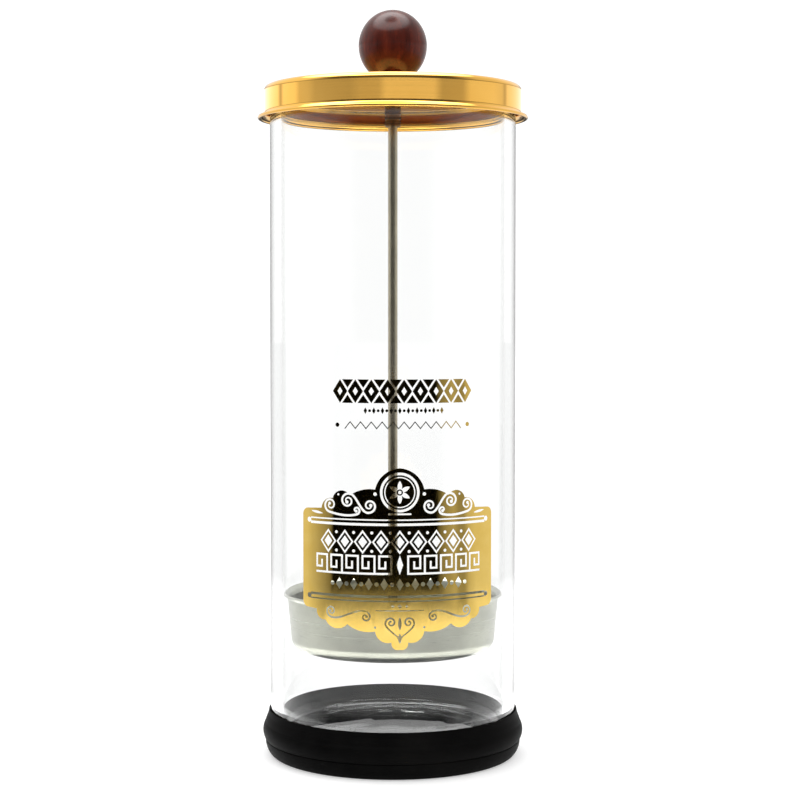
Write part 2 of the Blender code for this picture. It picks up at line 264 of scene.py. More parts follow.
def steel_material(name, colour, rough, streak, worn=0.0):
    """Satin stainless steel: fine marks round the piece, cloudy tone and, if worn, short dark scuffs."""
    s = Shader(name)
    s.set(Metallic=1.0)
    rings = s.noise(s.scaled((streak, 1.0, streak), s.turned_coords()), 1.0, 3.0)
    cloud = s.noise(s.coords, 70.0, 4.0)
    dark = tuple(0.80 * c for c in colour)
    tone = s.ramp(cloud, ((0.3, dark), (0.65, colour)))
    if worn:
        scuffs = s.noise(s.scaled((160.0, 160.0, 900.0)), 1.0, 2.0, 0.5, 2.0)
        tone = s.darkened(tone, worn, scuffs, ((0.30, 0.35), (0.36, 1.0)))
    s.link(tone, s.base)
    s.ramp(rings, ((0.25, rough + 0.02), (0.8, rough + 0.09)), s.rough)
    s.bump(rings, 0.03, 0.00002)
    return s.mat


def silicone_material():
    """Amber silicone, nearly opaque at this thickness."""
    s = Shader("amber_silicone")
    s.set(Roughness=0.45, IOR=1.41, Transmission_Weight=0.15)
    cloud = s.noise(s.coords, 90.0, 3.0)
    s.ramp(cloud, ((0.3, (0.78, 0.34, 0.09)), (0.7, (0.88, 0.43, 0.13))), s.base)
    s.bump(s.noise(s.coords, 900.0), 0.1, 0.00005)
    return s.mat


def brass_material():
    """Machined brass with turning marks."""
    s = Shader("insert_brass")
    s.set(Metallic=1.0)
    rings = s.noise(s.scaled((3000.0, 1.0, 3000.0), s.turned_coords()), 1.0, 2.0)
    s.ramp(rings, ((0.3, (0.62, 0.42, 0.15)), (0.7, (0.80, 0.58, 0.25))), s.base)
    s.ramp(rings, ((0.3, 0.22), (0.8, 0.38)), s.rough)
    s.bump(rings, 0.2, 0.00004)
    return s.mat


# ================================================================ shapes

def arc(centre, radii, start, end, steps):
    """Points of an elliptical arc in the (radius, height) plane, angles in degrees."""
    points = []
    for i in range(steps + 1):
        angle = math.radians(start + (end - start) * i / steps)
        points.append((centre[0] + radii[0] * math.cos(angle), centre[1] + radii[1] * math.sin(angle)))
    return points


def round_corner(centre, radius, start, end, steps=8):
    return arc(centre, (radius, radius), start, end, steps)


def finish_mesh(name, bm, mat, sharp=32.0):
    """Turn the bmesh into a smooth-shaded object with outward faces."""
    bmesh.ops.recalc_face_normals(bm, faces=bm.faces)
    mesh = bpy.data.meshes.new(name)
    bm.to_mesh(mesh)
    bm.free()
    mesh.shade_smooth()
    mesh.set_sharp_from_angle(angle=math.radians(sharp))
    if mat is not None:
        mesh.materials.append(mat)
    obj = bpy.data.objects.new(name, mesh)
    bpy.context.scene.collection.objects.link(obj)
    return obj


def held(profile, ring, hold=0.25 * MM):
    """Add a point near each end of a long straight run, so the curve beside it doesn't shade the run."""
    points = []
    last = len(profile) if ring else len(profile) - 1
    for i in range(last):
        start, end = Vector(profile[i]), Vector(profile[(i + 1) % len(profile)])
        run = (end - start).length
        points.append(tuple(start))
        if run > 4 * hold:
            points += [tuple(start.lerp(end, hold / run)), tuple(start.lerp(end, 1 - hold / run))]
    if not ring:
        points.append(profile[-1])
    return points


def turned(name, profile, mat, sides=ROUND, ring=True, sharp=32.0):
    """Turn a profile about Z: a ring's profile is a closed loop, a solid's ends lie on the axis."""
    profile = held(profile, ring)
    bm = bmesh.new()
    verts = [bm.verts.new((radius, 0.0, height)) for radius, height in profile]
    edges = [bm.edges.new(pair) for pair in zip(verts, verts[1:])]
    if ring:
        edges.append(bm.edges.new((verts[-1], verts[0])))
    bmesh.ops.spin(bm, geom=verts + edges, cent=(0, 0, 0), axis=(0, 0, 1), angle=math.tau, steps=sides)
    bmesh.ops.remove_doubles(bm, verts=bm.verts, dist=1e-6)
    return finish_mesh(name, bm, mat, sharp)


def cut(obj, cutter, operation='DIFFERENCE'):
    """Apply a boolean and drop the cutter."""
    modifier = obj.modifiers.new("cut", 'BOOLEAN')
    modifier.operation = operation
    modifier.solver = 'EXACT'
    modifier.object = cutter
    graph = bpy.context.evaluated_depsgraph_get()
    mesh = bpy.data.meshes.new_from_object(obj.evaluated_get(graph))
    obj.modifiers.clear()
    obj.data = mesh
    mesh.shade_smooth()
    mesh.set_sharp_from_angle(angle=math.radians(28.0))
    bpy.data.objects.remove(cutter, do_unlink=True)


def stands_for(piece, body, node):
    """Ride on the CAD body and hide the CAD node."""
    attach(piece, body)
    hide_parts(node)
    return piece


def extent(node):
    """(outer radius, lowest, highest) of a turned CAD node."""
    low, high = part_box(node)
    return high.x, low.z, high.z


# ================================================================ jar

def make_glass(mat):
    radius, low, high = extent("glass_jar")
    inner = radius - 4.0 * MM
    floor = low + 6.0 * MM
    heel, cove, rim = 3.0 * MM, 4.0 * MM, 1.2 * MM
    push_up = 1.0 * MM               # how far the underside rises at the centre
    dome = 0.5 * MM                  # how far the floor rises at the centre
    foot_r = radius - heel - 3.0 * MM
    profile = [(foot_r * i / 12, low + push_up * math.cos(math.pi / 2 * i / 12) ** 2) for i in range(13)]
    profile += round_corner((radius - heel, low + heel), heel, -90, 0)
    profile += round_corner((radius - rim, high - rim), rim, 0, 90)
    profile += round_corner((inner + rim, high - rim), rim, 90, 180)
    profile += round_corner((inner - cove, floor + cove), cove, 0, -90, 12)
    edge = inner - cove
    profile += [(edge * (1 - i / 12), floor + dome * math.sin(math.pi / 2 * i / 12) ** 2)
                for i in range(1, 13)]
    return turned("jar_glass", profile, mat, ring=False, sharp=60.0)


def make_boot(mat):
    radius, low, high = extent("rubber_base")
    bore, floor, cove = 45.3 * MM, 3.7 * MM, 3.3 * MM
    seam_z, seam_r, seam = 6.0 * MM, 47.0 * MM, 0.4 * MM
    foot_r, bulge, bulge_z = 43.0 * MM, (3.95 * MM, 4.8 * MM), 9.3 * MM
    recess, recess_r = 1.2 * MM, 36.0 * MM
    ridge_r, ridge_drop, ridge_foot = 0.9 * MM, 0.8 * MM, 1.2 * MM
    neck = ((46.75 * MM, 13.4 * MM), (46.1 * MM, 15.0 * MM), (45.8 * MM, 16.2 * MM))
    lip, lip_in = 0.18 * MM, 0.22 * MM
    profile = [(0.0, recess)]
    for ridge in (12.0 * MM, 20.0 * MM, 28.0 * MM):
        profile += [(ridge - ridge_foot, recess)] + arc((ridge, recess), (ridge_r, -ridge_drop), 180, 0, 8)
        profile += [(ridge + ridge_foot, recess)]
    profile += [(recess_r, recess), (recess_r + 0.4 * MM, recess - 0.2 * MM), (recess_r + 0.6 * MM, low)]
    profile += arc((foot_r, seam_z), (seam_r - foot_r, seam_z - low), -90, -5, 16)
    profile += round_corner((seam_r - 0.05 * MM, seam_z), seam / 2, -60, -180, 4)[1:]
    profile += arc((radius - bulge[0], bulge_z), bulge, -36, 37, 20)
    profile += neck
    profile += round_corner((bore + lip_in, high - lip), lip, 20, 160, 6)
    profile += [(bore, high - 0.5 * MM)]
    profile += round_corner((bore - cove, floor + cove), cove, 0, -90)
    profile += [(0.0, floor)]
    return turned("boot_rubber", profile, mat, ring=False)


# ================================================================ lid

def make_lid(mat):
    radius, low, high = extent("lid_shell")
    wall, sheet, corner = 47.2 * MM, 0.7 * MM, 2.0 * MM
    skirt, flare, bead = 235.9 * MM, 1.5 * MM, 0.65 * MM
    bore = SCREW_BORE
    corner_at = (wall - corner, high - corner)
    flare_at = (wall + flare, skirt)
    bead_at = (radius - bead, low + bead)
    profile = [(bore, high)] + [(bore + (corner_at[0] - bore) * i / 10, high) for i in range(1, 10)]
    profile += round_corner(corner_at, corner, 90, 0, 14)
    profile += round_corner(flare_at, flare, 180, 258, 12)
    profile += round_corner(bead_at, bead, 80, -160, 18)
    profile += round_corner(flare_at, flare + sheet, 246, 180, 10)
    profile += round_corner(corner_at, corner - sheet, 0, 90, 10)
    profile += [(bore, high - sheet)]
    return turned("lid_metal", profile, mat, sharp=50.0)


def make_seal(mat):
    radius, low, high = extent("lid_seal")
    inner = 42.0 * MM
    under, bevel, over = 0.6 * MM, 0.9 * MM, 0.4 * MM        # rounding below, slope outside, rounding inside
    profile = round_corner((inner + under, low + under), under, 180, 270, 5)
    profile += round_corner((radius - under, low + under), under, -90, 0, 5)
    profile += [(radius, high - bevel), (radius - bevel, high)]
    profile += round_corner((inner + over, high - over), over, 90, 180, 4)
    return turned("seal_ring", profile, mat)


# ================================================================ rack

def make_knob(mat):
    radius, low, high = extent("knob")
    centre = 260.3 * MM
    half = high - centre
    bore, deep = 3.3 * MM, 11.6 * MM
    start = math.degrees(math.asin((low - centre) / half))
    profile = [(0.0, low + deep), (bore, low + deep), (bore, low)]
    profile += arc((0.0, centre), (radius, half), start, 90, 64)[:-1] + [(0.0, high)]
    return turned("knob_ball", profile, mat, 128, ring=False)


def make_washer(node, mat, edge):
    radius, low, high = extent(node)
    bore = SCREW_BORE
    profile = [(bore, low + edge / 2), (bore + edge / 2, low)]
    profile += round_corner((radius - edge, low + edge), edge, -90, 0, 5)
    profile += round_corner((radius - edge, high - edge), edge, 0, 90, 5)
    profile += [(bore + edge / 2, high), (bore, high - edge / 2)]
    return turned(node + "_disc", profile, mat, FINE)


def make_nut(node, mat):
    """Chamfered hexagon nut with a countersunk bore."""
    low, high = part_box(node)
    flats = high.x - low.x
    corner = flats / math.sqrt(3)
    bore, lead = 1.85 * MM, 0.35 * MM
    chamfer = corner - flats / 2
    rise = chamfer * 0.7
    profile = [(bore, low.z + lead), (bore + lead, low.z), (flats / 2, low.z), (corner, low.z + rise)]
    profile += [(corner, high.z - rise), (flats / 2, high.z), (bore + lead, high.z), (bore, high.z - lead)]
    nut = turned(node + "_hex", profile, mat, 96)
    bm = bmesh.new()
    bmesh.ops.create_cone(bm, cap_ends=True, segments=6, radius1=corner, radius2=corner,
                          depth=3 * (high.z - low.z))
    bmesh.ops.translate(bm, verts=bm.verts, vec=(0, 0, (low.z + high.z) / 2))
    cut(nut, finish_mesh("hexagon", bm, None), 'INTERSECT')
    return nut


def make_collar(mat):
    """Long round nut with two shallow grip grooves."""
    radius, low, high = extent("rod_collar")
    bore, edge, groove = SCREW_BORE, 0.4 * MM, 0.25 * MM
    profile = [(bore, low), (radius - edge, low), (radius, low + edge)]
    for middle in (low + 2.4 * MM, low + 4.0 * MM):
        profile += arc((radius, middle), (-groove, 0.4 * MM), -90, 90, 6)
    profile += [(radius, high - edge), (radius - edge, high), (bore, high)]
    return turned("collar_sleeve", profile, mat, FINE)


def make_insert(mat):
    radius, low, high = extent("knob_insert")
    bore = SCREW_BORE
    profile = [(bore, low), (radius, low)]
    for third in (1, 2):
        middle = low + (high - low) * third / 3
        profile += arc((radius, middle), (-0.35 * MM, 0.7 * MM), -90, 90, 8)
    profile += [(radius, high), (bore, high)]
    return turned("insert_bush", profile, mat, FINE)


def make_rod(mat):
    """Plain rod with a cut thread at each end."""
    radius, low, high = extent("lift_rod")
    pitch, depth, sides = 0.7 * MM, 0.28 * MM, 48
    lower_thread, upper_thread = low + 14.0 * MM, high - 17.0 * MM
    heights = list(np.arange(low + pitch, lower_thread, pitch / 8))
    heights += list(np.linspace(lower_thread, upper_thread, 40))
    heights += list(np.arange(upper_thread + pitch / 8, high - pitch, pitch / 8))
    rings = [(low, radius - 0.4 * MM, False)]
    for z in heights:
        rings.append((z, radius, z < lower_thread or z > upper_thread))
    rings.append((high, radius - 0.4 * MM, False))
    bm = bmesh.new()
    rows = []
    for z, r, threaded in rings:
        row = []
        for i in range(sides):
            phase = (z / pitch - i / sides) % 1.0
            here = r - depth * abs(2 * phase - 1) if threaded else r
            angle = math.tau * i / sides
            row.append(bm.verts.new((here * math.cos(angle), here * math.sin(angle), z)))
        rows.append(row)
    for below, above in zip(rows, rows[1:]):
        for i in range(sides):
            j = (i + 1) % sides
            bm.faces.new((below[i], below[j], above[j], above[i]))
    bm.faces.new(list(reversed(rows[0])))
    bm.faces.new(rows[-1])
    return finish_mesh("rod_steel", bm, mat, 40.0)


def make_basket(mat):
    """Deep-drawn cup with a rolled lip and drain holes in its floor."""
    radius, low, high = extent("basket")
    sheet, corner, bore = 0.8 * MM, 5.0 * MM, SCREW_BORE
    low_r, high_r, flare_z = 37.5 * MM, 38.7 * MM, 57.6 * MM
    corner_at = (low_r - corner, low + corner)
    lip = (radius - sheet / 2, high - sheet / 2)
    profile = [(bore, low)] + [(bore + (corner_at[0] - bore) * i / 8, low) for i in range(1, 8)]
    profile += round_corner(corner_at, corner, -90, 0, 14)
    outer = [(high_r, flare_z), (high_r + 0.3 * MM, flare_z + 1.2 * MM),
             (lip[0] + 0.1 * MM, lip[1] - 0.45 * MM)]
    inner = [(high_r - sheet + 0.4 * MM, flare_z + 1.6 * MM), (high_r - sheet, flare_z + 0.2 * MM)]
    profile += outer + round_corner(lip, sheet / 2, -30, 150, 12) + inner
    profile += round_corner(corner_at, corner - sheet, 0, -90, 12)
    profile += [(bore, low + sheet)]
    basket = turned("basket_cup", profile, mat)
    bm = bmesh.new()
    hole = 2.5 * MM
    for count, row_r in ((5, 14.5 * MM), (10, 26.5 * MM)):
        for i in range(count):
            angle = math.tau * (i + 0.5) / count
            made = bmesh.ops.create_cone(bm, cap_ends=True, segments=40, radius1=hole, radius2=hole,
                                         depth=4 * sheet)
            place = (row_r * math.cos(angle), row_r * math.sin(angle), low + sheet / 2)
            bmesh.ops.translate(bm, verts=made["verts"], vec=place)
    cut(basket, finish_mesh("drain_holes", bm, None))
    return basket


# ================================================================ label art, in millimetres

# Outlines are in (S, Z): S runs round the glass from the label's middle and Z up it.

def circle(x, z, r, steps=48):
    return [(x + r * math.cos(math.tau * i / steps), z + r * math.sin(math.tau * i / steps))
            for i in range(steps)]


def bar(x0, z0, x1, z1):
    return [(x0, z0), (x1, z0), (x1, z1), (x0, z1)]


def lozenge(x, z, wide, high):
    return [(x - wide, z), (x, z - high), (x + wide, z), (x, z + high)]


def petal(x, z, length, wide, angle, steps=10):
    """Leaf shape that starts at (x, z) and points along angle."""
    edge = [(length * i / steps, wide * math.sin(math.pi * i / steps) ** 0.8) for i in range(steps + 1)]
    outline = edge + [(u, -v) for u, v in reversed(edge[1:-1])]
    c, s = math.cos(angle), math.sin(angle)
    return [(x + u * c - v * s, z + u * s + v * c) for u, v in outline]


def ribbon(path, start, middle, end):
    """Stroke along a path whose half-width swells from start through middle to end."""
    left, right = [], []
    last = len(path) - 1
    for i, (x, z) in enumerate(path):
        ahead, behind = path[min(i + 1, last)], path[max(i - 1, 0)]
        dx, dz = ahead[0] - behind[0], ahead[1] - behind[1]
        length = math.hypot(dx, dz)
        t = i / last
        half = (1 - t) ** 2 * start + 2 * t * (1 - t) * (2 * middle - (start + end) / 2) + t ** 2 * end
        left.append((x - dz / length * half, z + dx / length * half))
        right.append((x + dz / length * half, z - dx / length * half))
    return left + list(reversed(right))


def volute(x, z, size, start, turns, steps=44):
    """Spiral about (x, z) from its outer end, size away at angle start, inwards; minus turns: clockwise."""
    path = []
    for i in range(steps + 1):
        t = i / steps
        angle, r = math.radians(start) + math.tau * turns * t, size * (1 - 0.78 * t ** 0.9)
        path.append((x + r * math.cos(angle), z + r * math.sin(angle)))
    return path


def joined(first, second, pull=1.0, steps=24):
    """Path out of one spiral, across a smooth curve and into the other."""
    a, b = Vector(first[0]), Vector(second[0])
    reach = (b - a).length * pull
    leaving = (a - Vector(first[1])).normalized() * reach
    arriving = (Vector(second[1]) - b).normalized() * reach
    middle = []
    for i in range(1, steps):
        t = i / steps
        point = (a * (2 * t ** 3 - 3 * t ** 2 + 1) + leaving * (t ** 3 - 2 * t ** 2 + t)
                 + b * (3 * t ** 2 - 2 * t ** 3) + arriving * (t ** 3 - t ** 2))
        middle.append(tuple(point))
    return list(reversed(first)) + middle + second


def leg(start, end, half):
    """Straight stroke with square ends."""
    dx, dz = end[0] - start[0], end[1] - start[1]
    length = math.hypot(dx, dz)
    dx, dz = dx / length * half, dz / length * half
    return [(start[0] - dx - dz, start[1] - dz + dx), (start[0] - dx + dz, start[1] - dz - dx),
            (end[0] + dx + dz, end[1] + dz - dx), (end[0] + dx - dz, end[1] + dz + dx)]


def bulged(start, end, bulge, steps):
    """Points from start up to but not including end, on an arc that bulges to the left by bulge."""
    start, end = Vector(start), Vector(end)
    chord = end - start
    if bulge == 0.0:
        return [tuple(start)]
    half = chord.length / 2
    radius = (half * half + bulge * bulge) / (2 * bulge)
    left = Vector((-chord.y, chord.x)).normalized()
    centre = (start + end) / 2 + left * (bulge - radius)
    sweep = 2 * math.asin(min(1.0, half / radius))
    spoke = start - centre
    points = []
    for i in range(steps):
        turn = -sweep * i / steps
        points.append((centre.x + spoke.x * math.cos(turn) - spoke.y * math.sin(turn),
                       centre.y + spoke.x * math.sin(turn) + spoke.y * math.cos(turn)))
    return points


# Right half of the plaque's outline, top to bottom: S, Z, and how far the arc to the next point bulges
PLAQUE_HALF = (
    (0.0, 109.0, 1.9), (8.6, 101.6, 0.9), (17.6, 99.4, 2.2), (24.2, 98.2, 1.3), (28.8, 94.6, 0.0),
    (35.0, 94.3, 0.7), (37.4, 91.9, 0.0), (37.4, 61.7, 0.7), (35.0, 59.3, 0.0), (31.0, 59.0, 1.3),
    (27.2, 55.4, 2.2), (18.6, 54.4, 1.1), (8.6, 52.2, 1.6), (2.9, 48.4, 1.1), (0.0, 45.9, 0.0),
)


class Art:
    """Outlines in painting order, each gold or not: what comes later covers what lies under it."""

    def __init__(self):
        self.shapes = []

    def add(self, shape, gold=False):
        self.shapes.append((shape, gold))

    def both(self, shape, gold=False):
        """The shape and its mirror image across the middle."""
        self.add(shape, gold)
        self.add([(-x, z) for x, z in shape], gold)

    def flourish(self, path, thick, ball):
        """Scroll on both sides, with a ball at each end."""
        self.both(ribbon(path, 0.20, thick, 0.20))
        for end in (path[0], path[-1]):
            self.both(circle(*end, ball, 20))


def medallion(art):
    """Double ring round a plain rosette, with a bar under it and a bead on each side."""
    middle = 100.6
    for r, sides, gold in ((6.9, 72, False), (6.0, 72, True), (5.4, 64, False), (5.0, 64, True)):
        art.add(circle(0, middle, r, sides), gold)
    for i in range(6):
        art.add(petal(0, middle, 4.0, 0.8, math.tau * i / 6 + math.pi / 6))
    art.add(circle(0, middle, 1.1, 24), True)
    art.add(circle(0, middle, 0.6, 20))
    art.add(bar(-4.0, 92.75, 4.0, 93.35))
    art.both(circle(8.6, 100.0, 0.62, 20))


def upper_scrolls(art):
    art.flourish(joined(volute(10.6, 95.9, 2.4, -90, -1.3), volute(18.4, 97.5, 2.5, 90, -1.4)), 0.40, 0.60)
    art.flourish(joined(volute(15.3, 94.3, 1.5, -90, -1.0), volute(25.1, 95.9, 2.6, -90, 1.4)), 0.40, 0.55)
    art.both(petal(28.2, 92.7, 5.2, 0.45, 0.14))
    art.both(circle(22.0, 99.6, 0.40, 16))


def double_rule(art, first, second):
    """Two long bars, each (height, half thickness), with a bead where they end."""
    for z, half in (first, second):
        art.add(bar(-33.6, z - half, 33.6, z + half))
    art.both(circle(34.3, (first[0] + second[0]) / 2, 0.9, 24))


def lozenge_chain(art):
    """Row of lozenges with a hollow line round each and beads between them."""
    middle, step = 83.3, 6.5
    for i in range(-4, 5):
        x = i * step
        art.add(lozenge(x, middle, 3.2, 4.2))
        art.add(lozenge(x, middle, 2.45, 3.2), True)
        art.add(lozenge(x, middle, 1.6, 2.1))
        if i < 4:
            for side in (1, -1):
                art.add(circle(x + step / 2, middle + side * 3.2, 0.55, 16))


def key_border(art):
    """Running key from each side to a lozenge in the middle."""
    wide, low, high, half, count = 5.9, 72.3, 78.4, 0.36, 5
    hook, tongue = 0.72 * wide, 0.36 * wide
    art.add(lozenge(0, (low + high) / 2, 1.15, 3.4))
    for i in range(count):
        x = 2.9 + i * wide
        turns = ((x, low), (x, high), (x + hook, high), (x + hook, low + 1.9), (x + tongue, low + 1.9),
                 (x + tongue, high - 2.1))
        for start, end in zip(turns, turns[1:]):
            art.both(leg(start, end, half))
        art.both(leg((x, low), (x + (wide if i < count - 1 else hook), low), half))


def bead_row(art):
    """Lozenges and beads in turn."""
    for i in range(-9, 10):
        art.add(circle(i * 2.7, 68.6, 0.75, 18) if i % 2 else lozenge(i * 2.7, 68.6, 1.35, 2.1))


def lower_scrolls(art):
    """Scrolls on both sides, a heart at the tip and small marks over it."""
    art.flourish(joined(volute(12.0, 57.2, 1.9, 90, 1.2), volute(24.8, 58.7, 2.1, -90, 1.3)), 0.34, 0.48)
    art.flourish(joined([(0.7, 50.3), (0.5, 50.1)], volute(3.1, 55.3, 1.9, 0, 1.2), 0.8), 0.32, 0.40)
    art.add(petal(0, 52.6, 4.6, 0.60, math.pi / 2))
    art.add(petal(0, 51.6, 3.6, 0.62, -math.pi / 2))
    art.add(bar(-8.4, 59.3, 8.4, 59.65))
    art.add(lozenge(0, 61.0, 0.75, 0.75))
    art.both(lozenge(2.4, 61.0, 0.6, 0.6))
    art.both(circle(8.6, 53.6, 0.42, 16))


def plaque_art():
    """The gold plaque and what is cut out of it."""
    right = []
    for here, after in zip(PLAQUE_HALF, PLAQUE_HALF[1:]):
        right += bulged(here[:2], after[:2], here[2], 10)
    art = Art()
    art.add(right + [PLAQUE_HALF[-1][:2]] + [(-x, z) for x, z in reversed(right[1:])], True)
    medallion(art)
    upper_scrolls(art)
    double_rule(art, (91.0, 0.24), (89.4, 0.44))
    double_rule(art, (62.75, 0.22), (64.35, 0.40))
    lozenge_chain(art)
    key_border(art)
    bead_row(art)
    lower_scrolls(art)
    return art.shapes


def panel_art():
    """Upper print: a bold band of lozenges and wedges, a fine band and a zigzag, none of it lettering."""
    art = Art()
    middle, step, rise = 135.6, 5.7, 4.1
    for i in range(-4, 5):
        x = i * step
        art.add(lozenge(x, middle, 2.75, rise), True)
        art.add(lozenge(x, middle, 0.95, 1.5))
        if i < 4:
            for side in (1, -1):
                edge = middle + side * rise
                art.add([(x + 0.8, edge), (x + step - 0.8, edge), (x + step / 2, edge - side * 2.9)], True)
    fine, step = 128.9, 1.5
    for i in range(-9, 10):
        art.add(lozenge(i * step, fine, 0.62, 1.15) if i % 2 else circle(i * step, fine, 0.5, 16), True)
    low, high, pitch = 122.7, 125.0, 1.9
    for i in range(-11, 11):
        ends = (low, high) if i % 2 else (high, low)
        art.add(leg((i * pitch, ends[0]), ((i + 1) * pitch, ends[1]), 0.16), True)
    art.both(circle(23.8, (low + high) / 2, 0.75, 20), True)
    return art.shapes


def inside(points, polygon):
    """Winding test of many points against one outline, which may cross itself."""
    x, z = points[:, 0], points[:, 1]
    turns = np.zeros(len(points), int)
    x1, z1 = polygon[-1]
    for x0, z0 in polygon:
        if z0 != z1:
            crosses = (z0 > z) != (z1 > z)
            right = crosses & (x < (x1 - x0) * (z - z0) / (z1 - z0) + x0)
            turns += np.where(right, 1 if z0 > z1 else -1, 0)
        x1, z1 = x0, z0
    return turns != 0


def gold_faces(art):
    """Points and triangles of the art's gold parts, flat, with an upright cut every FOIL_GRID."""
    points, edges = [], []
    for outline, _ in art:
        first = len(points)
        points += [Vector(p) for p in outline]
        edges += [(first + i, first + (i + 1) % len(outline)) for i in range(len(outline))]
    xs, zs = [p.x for p in points], [p.y for p in points]
    aside = 0.013                    # keeps the cuts off the art's own points
    for i in range(math.floor(min(xs) / FOIL_GRID), math.ceil(max(xs) / FOIL_GRID) + 1):
        edges.append((len(points), len(points) + 1))
        points += [Vector((i * FOIL_GRID + aside, z)) for z in (min(zs) - 1, max(zs) + 1)]
    verts, _, faces, _, _, _ = delaunay_2d_cdt(points, edges, [], 0, 1e-5)
    flat = np.array([tuple(v) for v in verts])
    middles = np.array([flat[list(face)].mean(axis=0) for face in faces])
    keep = np.zeros(len(faces), bool)
    for outline, gold in art:
        keep[inside(middles, outline)] = gold
    return flat, [face for face, gold in zip(faces, keep) if gold]


def foil_mesh(name, art, turn, mat):
    """Wrap the art's gold on the glass, turned by turn, and thicken it."""
    radius = extent("glass_jar")[0] + FOIL_GAP
    flat, faces = gold_faces(art)
    bm = bmesh.new()
    made = [bm.verts.new((x, 0.0, z)) for x, z in flat]
    for face in faces:
        bm.faces.new([made[i] for i in face])
    bmesh.ops.delete(bm, geom=[v for v in bm.verts if not v.link_faces], context='VERTS')
    for face in bm.faces:
        if face.normal.y > 0:
            face.normal_flip()
    back = bmesh.ops.extrude_face_region(bm, geom=bm.faces[:])["geom"]
    for vert in (v for v in back if isinstance(v, bmesh.types.BMVert)):
        vert.co.y = FOIL / MM
    for vert in bm.verts:
        angle = turn + vert.co.x * MM / radius
        here = radius + (FOIL / MM - vert.co.y) * MM
        vert.co = (here * math.sin(angle), -here * math.cos(angle), vert.co.z * MM)
    return finish_mesh(name, bm, mat, 30.0)


# ================================================================ studio

def make_camera():
    """Nearly level long lens from the labelled front, a little above the jar's middle."""
    data = bpy.data.cameras.new("camera")
    data.sensor_width = SENSOR
    data.lens = LENS
    data.shift_x, data.shift_y = LENS_SHIFT
    camera = bpy.data.objects.new("camera", data)
    camera.location = CAMERA_AT
    camera.rotation_euler = (math.radians(90.0 - CAMERA_DIP), 0.0, 0.0)
    bpy.context.scene.collection.objects.link(camera)
    bpy.context.scene.camera = camera


def stage_object(name, verts, faces, mat):
    mesh = bpy.data.meshes.new(name)
    mesh.from_pydata(verts, [], faces)
    mesh.materials.append(mat)
    obj = bpy.data.objects.new(name, mesh)
    bpy.context.scene.collection.objects.link(obj)
    return obj


def make_floor():
    wide = FLOOR_HALF
    mat = bpy.data.materials.new("pale_floor")
    mat.use_nodes = True
    shader = mat.node_tree.nodes["Principled BSDF"]
    shader.inputs["Base Color"].default_value = (FLOOR_GREY, FLOOR_GREY, FLOOR_GREY, 1.0)
    shader.inputs["Roughness"].default_value = 0.9
    shader.inputs["Specular IOR Level"].default_value = 0.0
    shader.inputs["Emission Color"].default_value = (1.0, 1.0, 1.0, 1.0)
    shader.inputs["Emission Strength"].default_value = FLOOR_GLOW
    stage_object("floor", [(-wide, -wide, 0), (wide, -wide, 0), (wide, wide, 0), (-wide, wide, 0)],
                 [(0, 1, 2, 3)], mat)


def card_material():
    """White as seen through the glass. Mirrors see black in front, with a light patch near the jar, pale
    panels at the sides and a dark strip straight behind."""
    mat = bpy.data.materials.new("floor_reflections")
    mat.use_nodes = True
    n = Nodes(mat.node_tree)
    n.tree.nodes.clear()
    coords = n.add("ShaderNodeTexCoord").outputs["Object"]
    x, y, _ = n.split(coords)
    turn = n.azimuth(x, y)
    length = n.add("ShaderNodeVectorMath", operation='LENGTH')
    n.link(coords, length.inputs[0])
    radius = length.outputs["Value"]

    panels = n.light(turn, (
        (at(-180), 0.10), (at(-171), 0.20), (at(-165), 0.95), (at(-150), 1.0), (at(-84), 0.74),
        (at(-72), 0.50), (at(-61), 0.28), (at(-57), 0.20), (at(-55), 0.0), (at(40), 0.0), (at(46), 0.26),
        (at(57), 0.46), (at(62), 0.30), (at(67), 0.30), (at(72), 0.58), (at(80), 0.74), (at(150), 1.0),
        (at(165), 0.95), (at(171), 0.20), (at(180), 0.10)))
    lift = n.light(radius, ((0.0, 1.3), (0.42, 1.3), (0.50, 1.0)))
    across = n.math("MULTIPLY", n.math("ABSOLUTE", x), 5.0)
    strip = n.light(across, ((0.27, 0.12), (0.40, 1.0)))                # dark within 54 mm of the middle line
    strip = n.math("MAXIMUM", strip, n.math("LESS_THAN", y, 0.0))
    sides = n.math("MULTIPLY", n.math("MULTIPLY", panels, lift), strip)

    near = n.light(radius, (
        (0.0, 0.02), (0.132, 0.05), (0.165, 0.72), (0.275, 1.05), (0.365, 1.20), (0.42, 0.58), (0.45, 0.36),
        (0.48, 0.12), (0.505, 0.03), (0.54, 0.0)))
    ahead = n.light(turn, ((at(-150), 0.0), (at(-130), 1.0), (at(130), 1.0), (at(150), 0.0)))
    near = n.math("MULTIPLY", near, ahead)

    path = n.add("ShaderNodeLightPath").outputs
    haze = n.light(n.math("DIVIDE", radius, FLOOR_HALF), ((0.30, 0.05), (0.36, 0.36)))
    haze = n.math("MULTIPLY", haze, path["Is Transmission Ray"])
    room = n.math("MULTIPLY", n.math("LESS_THAN", path["Glossy Depth"], 0.5), WHITE_ROOM)
    strength = n.math("MAXIMUM", n.math("MAXIMUM", n.math("MAXIMUM", sides, near), haze), room)
    glow = n.add("ShaderNodeEmission")
    n.link(strength, glow.inputs["Strength"])
    n.link(glow.outputs[0], n.add("ShaderNodeOutputMaterial").inputs["Surface"])
    return mat


